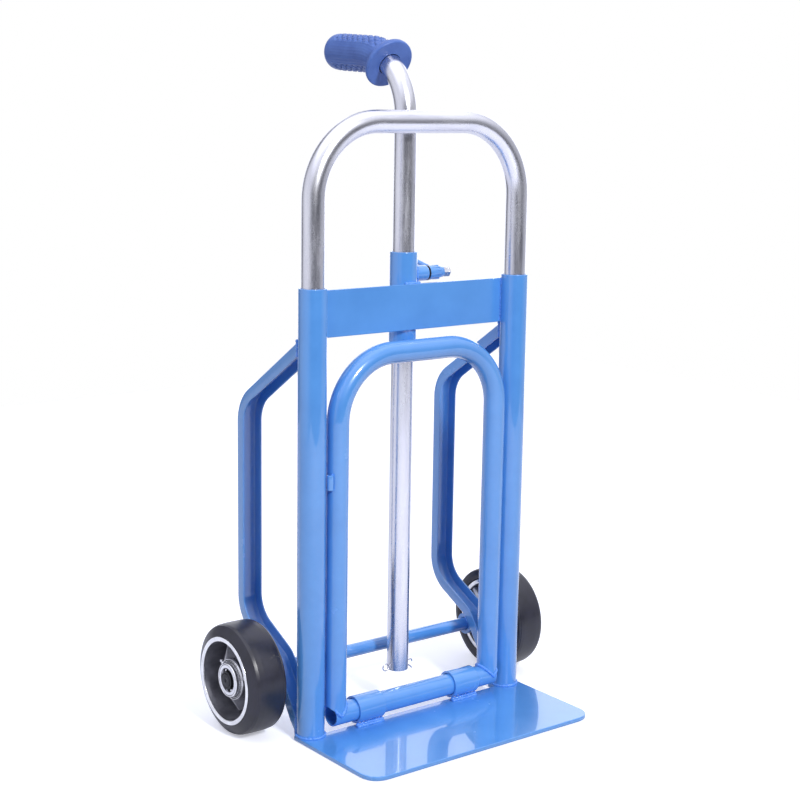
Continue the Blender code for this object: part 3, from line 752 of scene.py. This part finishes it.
def build_stop_lug():
    low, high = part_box("stop_lug")
    centre = Vector(((low.x + high.x) / 2, (low.y + high.y) / 2, low.z))
    radius = (high.x - low.x) / 2
    height = high.z - low.z
    profile = fillet([(0, NEEDLE), (0, radius), (height, radius), (height, NEEDLE)], 0.0008, 4,
                     closed=False)
    piece("stop_lug_pin", turned(profile, centre, Z, X, 28, closed=False), ENAMEL, "nose",
          ["stop_lug"])
    side = centre + Vector((0.0030, 0.0005, 0))
    tack = 0.0040
    runs = [[side, side + Z * tack], [side + Z * (height - tack), side + Z * height]]
    weld("stop_lug_weld", runs, 0.0017, "nose")


def build_barrels():
    for side in SIGNS:
        low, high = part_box(side + "_hinge_barrel")
        outer = high.z - BAR.z
        bore = outer - 0.0028
        profile = fillet([(low.x, outer), (high.x, outer), (high.x, bore), (low.x, bore)],
                         0.0006)
        piece(side + "_barrel_tube", turned(profile, BAR, X, Y), ENAMEL, "chassis",
              [side + "_hinge_barrel"])
        plate_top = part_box("toe_plate")[1].z
        runs = []
        for row in range(2):
            y = BAR.y - 0.0085 - 0.0022 * row
            z = plate_top + 0.0022 - 0.0014 * row
            runs.append([Vector((low.x + 0.001, y, z)), Vector((high.x - 0.001, y, z))])
        weld(side + "_barrel_weld", runs, 0.0024, "chassis")


# ---- pole, grip and clamp -----------------------------------------------------------------

pole_low, pole_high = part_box("pole")
POLE_R = pole_high.x
POLE_Y = pole_low.y + POLE_R
BEND_Z = 0.6903
BEND_R = 0.0695
BEND_TURN = math.radians(86.9)
# Places along the pole, as path length from the start of its bend, and sizes of the grip.
POLE_END = 0.17
GRIP_START = 0.0683
GRIP_END = 0.1756
GRIP_FLOOR = 0.1702             # bottom of the grip's socket, just past the pole's end
GRIP_BORE = 0.0134
GRIP_SIDES = 144


def pole_station(s):
    """Point and tangent at path length s from the start of the pole's bend."""
    if s <= 0:
        return Vector((0, POLE_Y, BEND_Z + s)), Z.copy()
    a = min(s / BEND_R, BEND_TURN)
    tangent = Vector((0, math.sin(a), math.cos(a)))
    point = Vector((0, POLE_Y + BEND_R * (1 - math.cos(a)), BEND_Z + BEND_R * math.sin(a)))
    return point + tangent * max(0.0, s - BEND_R * BEND_TURN), tangent


def build_pole():
    foot = pole_low.z - BEND_Z
    lengths = [foot - foot * k / 36 for k in range(37)]
    lengths += [POLE_END * k / 40 for k in range(1, 41)]
    line = [pole_station(s) for s in lengths]
    piece("pull_pole_tube", tube(line, X, POLE_R, POLE_R - THIN_WALL), ZINC, "pull_pole",
          ["pole"])


def grip_radius(s, base):
    """Outer radius of the grip round the section at path length s.

    The top and the underside carry raised lozenges, the flanks fine lines, and a low rim runs
    between them.
    """
    start = GRIP_START + 0.0150
    end = GRIP_END - 0.0160
    across, along, line = 0.0088, 0.0100, 0.0034    # pitches of the lozenges and the lines

    def radius(a):
        flank = abs(math.cos(a))
        r = base
        if start < s < end:
            rim = math.exp(-((flank - 0.80) / 0.035) ** 2)
            r += 0.0005 * rim
            if flank < 0.76:
                u = a * base / across
                v = s / along
                lozenge = abs(math.sin(math.pi * (u + v))) * abs(math.sin(math.pi * (u - v)))
                r += 0.0019 * (min(1.0, 2.2 * lozenge) - 0.75)
            else:
                r -= 0.0003 * abs(math.sin(math.pi * a * base / line)) ** 8
        return r

    return radius


def build_grip():
    """From the socket's floor to its mouth, over the flange and along to the rounded end."""
    outline = [(GRIP_START, GRIP_BORE), (GRIP_START, 0.0297, 0.0022),
               (GRIP_START + 0.0050, 0.0297, 0.0022), (GRIP_START + 0.0056, 0.0200, 0.003),
               (GRIP_START + 0.0085, 0.0186, 0.002), (GRIP_START + 0.0110, 0.0186, 0.001),
               (GRIP_START + 0.0125, 0.0205, 0.001), (GRIP_START + 0.0400, 0.0206, 0.01),
               (GRIP_END, 0.0208, 0.0115), (GRIP_END, 0.0002)]
    rounded = fillet(outline, 0.001, 8, closed=False)
    finest = 0.0009             # longest step along the outside
    profile = [rounded[0]]
    for point in rounded[1:]:
        last = profile[-1]
        count = max(1, math.ceil((point - last).length / finest))
        profile += [last.lerp(point, k / count) for k in range(1, count + 1)]
    depth = GRIP_FLOOR - GRIP_START
    socket = [(GRIP_FLOOR, 0.0002)]
    socket += [(GRIP_FLOOR - depth * k / 24, GRIP_BORE) for k in range(24)]
    rings = []
    for s, r in socket:
        point, tangent = pole_station(s)
        rings.append(ring(point, tangent, X, r, GRIP_SIDES))
    for s, r in profile:
        point, tangent = pole_station(s)
        rings.append(ring(point, tangent, X, grip_radius(s, r), GRIP_SIDES))
    piece("moulded_grip", skin(rings), VINYL, "pull_pole", ["grip"], sharp=70)


def build_split_pin():
    """One wire folded at an eye, its two halves side by side through the pole's foot."""
    z = 0.0492
    wire = 0.00085
    eye = 0.0040
    strand = wire + 0.0001
    line = [(0.0215, -0.0002), (0.0214, 0.0018), (0.0203, 0.0032), (0.0180, 0.0034),
            (0.0150, 0.0028), (0.0128, strand), (-0.0128, strand)]
    for k in range(25):
        a = math.radians(25) + math.radians(310) * k / 24
        line.append((-0.0174 + eye * math.cos(a), eye * math.sin(a)))
    line += [(-0.0128, -strand), (0.0128, -strand), (0.0150, -0.0022), (0.0172, -0.0040),
             (0.0194, -0.0056), (0.0212, -0.0078)]
    points = [Vector((x, POLE_Y, z + dz)) for x, dz in line]
    rings = []
    for i, point in enumerate(points):
        heading = points[min(i + 1, len(points) - 1)] - points[max(i - 1, 0)]
        rings.append(ring(point, heading.normalized(), Y, wire, 14))
    piece("folded_split_pin", skin(rings), BRIGHT, "pull_pole", ["split_pin"])


# The clamp's parts share one axis beside the sleeve.
boss_low, boss_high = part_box("clamp_boss")
CLAMP = Vector((0, (boss_low.y + boss_high.y) / 2, (boss_low.z + boss_high.z) / 2))
CLAMP_BORE = 0.0054


def build_clamp_boss():
    """The boss, the weld that follows the sleeve's curve round it, and the washer."""
    rim = (boss_high.z - boss_low.z) / 2
    root = boss_low.x - 0.001   # inside the sleeve's wall
    profile = fillet([(root, CLAMP_BORE), (boss_high.x, CLAMP_BORE), (boss_high.x, rim),
                      (root, rim)], 0.0010)
    piece("clamp_boss_turned", turned(profile, CLAMP, X, Y), ENAMEL, "chassis",
          ["clamp_boss"])
    saddle = []
    bead = rim + 0.0006
    for k in range(41):
        a = 2 * math.pi * k / 40
        y = bead * math.cos(a)
        saddle.append(Vector((math.sqrt(UPRIGHT_R ** 2 - y ** 2) + 0.0004, CLAMP.y + y,
                              CLAMP.z + bead * math.sin(a))))
    weld("clamp_boss_weld", [saddle], 0.0017, "chassis")

    low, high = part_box("clamp_washer")
    rim = 0.0088
    profile = fillet([(low.x, CLAMP_BORE), (high.x, CLAMP_BORE), (high.x, rim), (low.x, rim)],
                     0.0003)
    piece("clamp_washer_ring", turned(profile, CLAMP, X, Y), OILED, "chassis",
          ["clamp_washer"])


def build_clamp_lever():
    """Tapered hub with twelve finger ribs, and the arm that leans up and back from it."""
    low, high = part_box("clamp_lever")
    profile = fillet([(low.x, CLAMP_BORE), (high.x, CLAMP_BORE), (high.x, 0.0062),
                      (high.x - 0.0100, 0.0078), (low.x + 0.0070, 0.0082), (low.x, 0.0088)],
                     0.0008)
    piece("clamp_lever_hub", turned(profile, CLAMP, X, Y), ENAMEL, "lever",
          ["clamp_lever"])
    rib = box_part((low.x + 0.0060, 0.0068, -0.0008), (high.x - 0.0060, 0.0084, 0.0008), 0.0004)
    round_an_axis("clamp_lever_ribs", rib, 12, 0.1, ENAMEL, "lever", CLAMP)
    start = CLAMP + Vector((0.0385, 0.0047, 0.0059))
    end = CLAMP + Vector((0.0365, 0.0290, 0.0125))
    axis = (end - start).normalized()
    length = (end - start).length
    profile = fillet([(0, NEEDLE), (0, 0.0030), (length - 0.006, 0.0029),
                      (length, 0.0031, 0.0012), (length + 0.0028, 0.0022, 0.001),
                      (length + 0.0029, NEEDLE)], 0.0006, 4, closed=False)
    piece("clamp_lever_arm", turned(profile, start, axis, X, 32, closed=False), ENAMEL,
          "lever")


def build_clamp_screw():
    """Ridged shank and six-sided head."""
    low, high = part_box("clamp_screw")
    crest_r, root_r, pitch, thread_end = 0.0050, 0.0044, 0.00175, 0.0563
    profile = fillet([(low.x, NEEDLE), (low.x, 0.0034), (low.x + 0.0015, crest_r)], 0.0002, 2,
                     closed=False)
    crest = low.x + 0.0020
    while crest < thread_end - 0.0003:
        profile += [Vector((crest, crest_r)), Vector((crest + 0.0009, root_r)),
                    Vector((crest + 0.0017, crest_r))]
        crest += pitch
    profile += [Vector((thread_end, crest_r)), Vector((thread_end, NEEDLE))]
    piece("clamp_screw_thread", turned(profile, CLAMP, X, Y, 32, closed=False), BRIGHT,
          "screw", ["clamp_screw"])
    flat, head = 0.0057, 0.0564         # across half the flats, and where the head begins
    across_corners = 1.08
    rings = []
    for d, r in fillet([(head, 0.0002), (head, flat), (high.x, flat, 0.0009),
                        (high.x, 0.0002)], 0.0005, 4, closed=False):
        rings.append(ring(CLAMP + X * d, X, Y, r * across_corners, 6))
    piece("clamp_screw_head", skin(rings), BRIGHT, "screw", sharp=25)


# ---- studio -------------------------------------------------------------------------------

def build_camera():
    yaw = math.radians(37.7336)
    pitch = math.radians(10.6304)
    roll = math.radians(0.868)
    forward = Vector((math.sin(yaw) * math.cos(pitch), math.cos(yaw) * math.cos(pitch),
                      -math.sin(pitch)))
    level = Vector((math.cos(yaw), -math.sin(yaw), 0))
    rise = level.cross(forward)
    right = level * math.cos(roll) + rise * math.sin(roll)
    up = rise * math.cos(roll) - level * math.sin(roll)
    data = bpy.data.cameras.new("camera")
    data.lens = 72.576
    data.sensor_width = 36.0
    data.clip_end = 50.0
    camera = bpy.data.objects.new("camera", data)
    turn = Matrix((right, up, -forward)).transposed()
    place = Vector((-1.1187, FRAME_Y - 1.4152, 0.7119))
    camera.matrix_world = Matrix.Translation(place) @ turn.to_4x4()
    bpy.context.collection.objects.link(camera)
    bpy.context.scene.camera = camera


def add_lamp(name, place, target, size, power):
    """A round area lamp that faces its target."""
    data = bpy.data.lights.new(name, "AREA")
    data.shape = "DISK"
    data.size = size
    data.energy = power
    lamp = bpy.data.objects.new(name, data)
    direction = Vector(place) - Vector(target)
    turn = direction.to_track_quat("Z", "Y").to_matrix().to_4x4()
    lamp.matrix_world = Matrix.Translation(Vector(place)) @ turn
    bpy.context.collection.objects.link(lamp)


WALL_GLOW = 0.12                # brightness of the studio walls between the soft boxes
# Soft boxes of the studio: direction, brightness, and the cosines between which each fades in.
SOFT_BOXES = (
    ((-1.00, 0.25, 0.25), 0.90, 0.40, 0.95),
    ((0.95, -0.05, 0.15), 0.52, 0.45, 0.95),
    ((0.61, 0.79, 0.05), 1.45, 0.62, 0.92),
    ((0.00, 0.00, 1.00), 1.05, 0.66, 0.94),
)
# A wide ceiling, above and before the object, that only mirror-like reflections see.
CEILING = ((0, -0.3, 0.954), 0.85, 0.30, 0.75)


def soft_box(tree, direction, place, strength, low, high):
    """Socket with a brightness that fades in as the direction nears place."""
    facing = add_node(tree, "ShaderNodeVectorMath", {0: direction, 1: place},
                      operation="DOT_PRODUCT")
    glow = add_node(tree, "ShaderNodeMapRange", {
        "Value": facing.outputs["Value"], "From Min": low, "From Max": high,
        "To Min": 0.0, "To Max": strength}, interpolation_type="SMOOTHSTEP")
    return glow.outputs["Result"]


def build_world():
    """White to look at, but lit by a few soft boxes with dim walls between them."""
    world = bpy.data.worlds.new("studio")
    world.use_nodes = True
    tree = world.node_tree
    tree.nodes.clear()
    direction = add_node(tree, "ShaderNodeTexCoord").outputs["Generated"]
    rays = add_node(tree, "ShaderNodeLightPath")
    total = WALL_GLOW
    for place, strength, low, high in SOFT_BOXES:
        glow = soft_box(tree, direction, Vector(place).normalized(), strength, low, high)
        total = add_node(tree, "ShaderNodeMath", {0: glow, 1: total}).outputs[0]
    mirrored = add_node(tree, "ShaderNodeMath", {
        0: soft_box(tree, direction, *CEILING), 1: rays.outputs["Is Glossy Ray"]},
        operation="MULTIPLY")
    total = add_node(tree, "ShaderNodeMath", {0: mirrored.outputs[0], 1: total})
    lit = add_node(tree, "ShaderNodeBackground", {
        "Color": linear("#F4F6FF"), "Strength": total.outputs[0]})
    seen = add_node(tree, "ShaderNodeBackground", {"Color": linear("#FFFFFF")})
    mixed = add_node(tree, "ShaderNodeMixShader", {
        0: rays.outputs["Is Camera Ray"], 1: lit.outputs[0], 2: seen.outputs[0]})
    add_node(tree, "ShaderNodeOutputWorld", {"Surface": mixed.outputs[0]})
    bpy.context.scene.world = world


def sweep_paper():
    """White paper with a glow of its own, brightest to look at.

    Matt surfaces see it as plain grey, so that it throws little light up at them.
    """
    material = bpy.data.materials.new("white_sweep_paper")
    material.use_nodes = True
    tree = material.node_tree
    tree.nodes.clear()
    rays = add_node(tree, "ShaderNodeLightPath")
    paper = add_node(tree, "ShaderNodeBsdfDiffuse", {"Color": linear("#EEF0F8")})
    strength = add_node(tree, "ShaderNodeMapRange", {
        "Value": rays.outputs["Is Camera Ray"], "To Min": 0.10, "To Max": 0.44})
    glow = add_node(tree, "ShaderNodeEmission", {
        "Color": linear("#F4F5FF"), "Strength": strength.outputs["Result"]})
    seen = add_node(tree, "ShaderNodeAddShader", {0: paper.outputs[0], 1: glow.outputs[0]})
    bounced = add_node(tree, "ShaderNodeBsdfDiffuse", {"Color": linear("#8A8C92")})
    mixed = add_node(tree, "ShaderNodeMixShader", {
        0: rays.outputs["Is Diffuse Ray"], 1: seen.outputs[0], 2: bounced.outputs[0]})
    add_node(tree, "ShaderNodeOutputMaterial", {"Surface": mixed.outputs[0]})
    return material


def build_studio():
    bm = bmesh.new()
    bmesh.ops.create_grid(bm, x_segments=1, y_segments=1, size=2.0)
    mesh = to_mesh(bm)
    mesh.materials.append(sweep_paper())
    floor = bpy.data.objects.new("floor", mesh)
    floor.location.z = -0.0005          # just clear of the object's feet
    bpy.context.collection.objects.link(floor)
    build_world()
    add_lamp("key", (-0.3, -2.55, 1.95), (0, 0, 0.3), 0.5, 70)
    bpy.context.scene.view_settings.view_transform = "Standard"


build_camera()
build_uprights()
build_top_loop()
build_toe_plate()
build_crossbar()
build_sleeve()
build_brackets()
build_axle()
build_axle_blocks()
build_axle_rings()
for wheel_side, wheel_sign in SIGNS.items():
    build_tyre(wheel_side, wheel_sign)
    build_hub(wheel_side, wheel_sign)
    build_bearings(wheel_side, wheel_sign)
    build_nipple(wheel_side)
build_nose_frame()
build_hinge_bar()
build_stop_lug()
build_barrels()
build_pole()
build_grip()
build_split_pin()
build_clamp_boss()
build_clamp_lever()
build_clamp_screw()
build_studio()
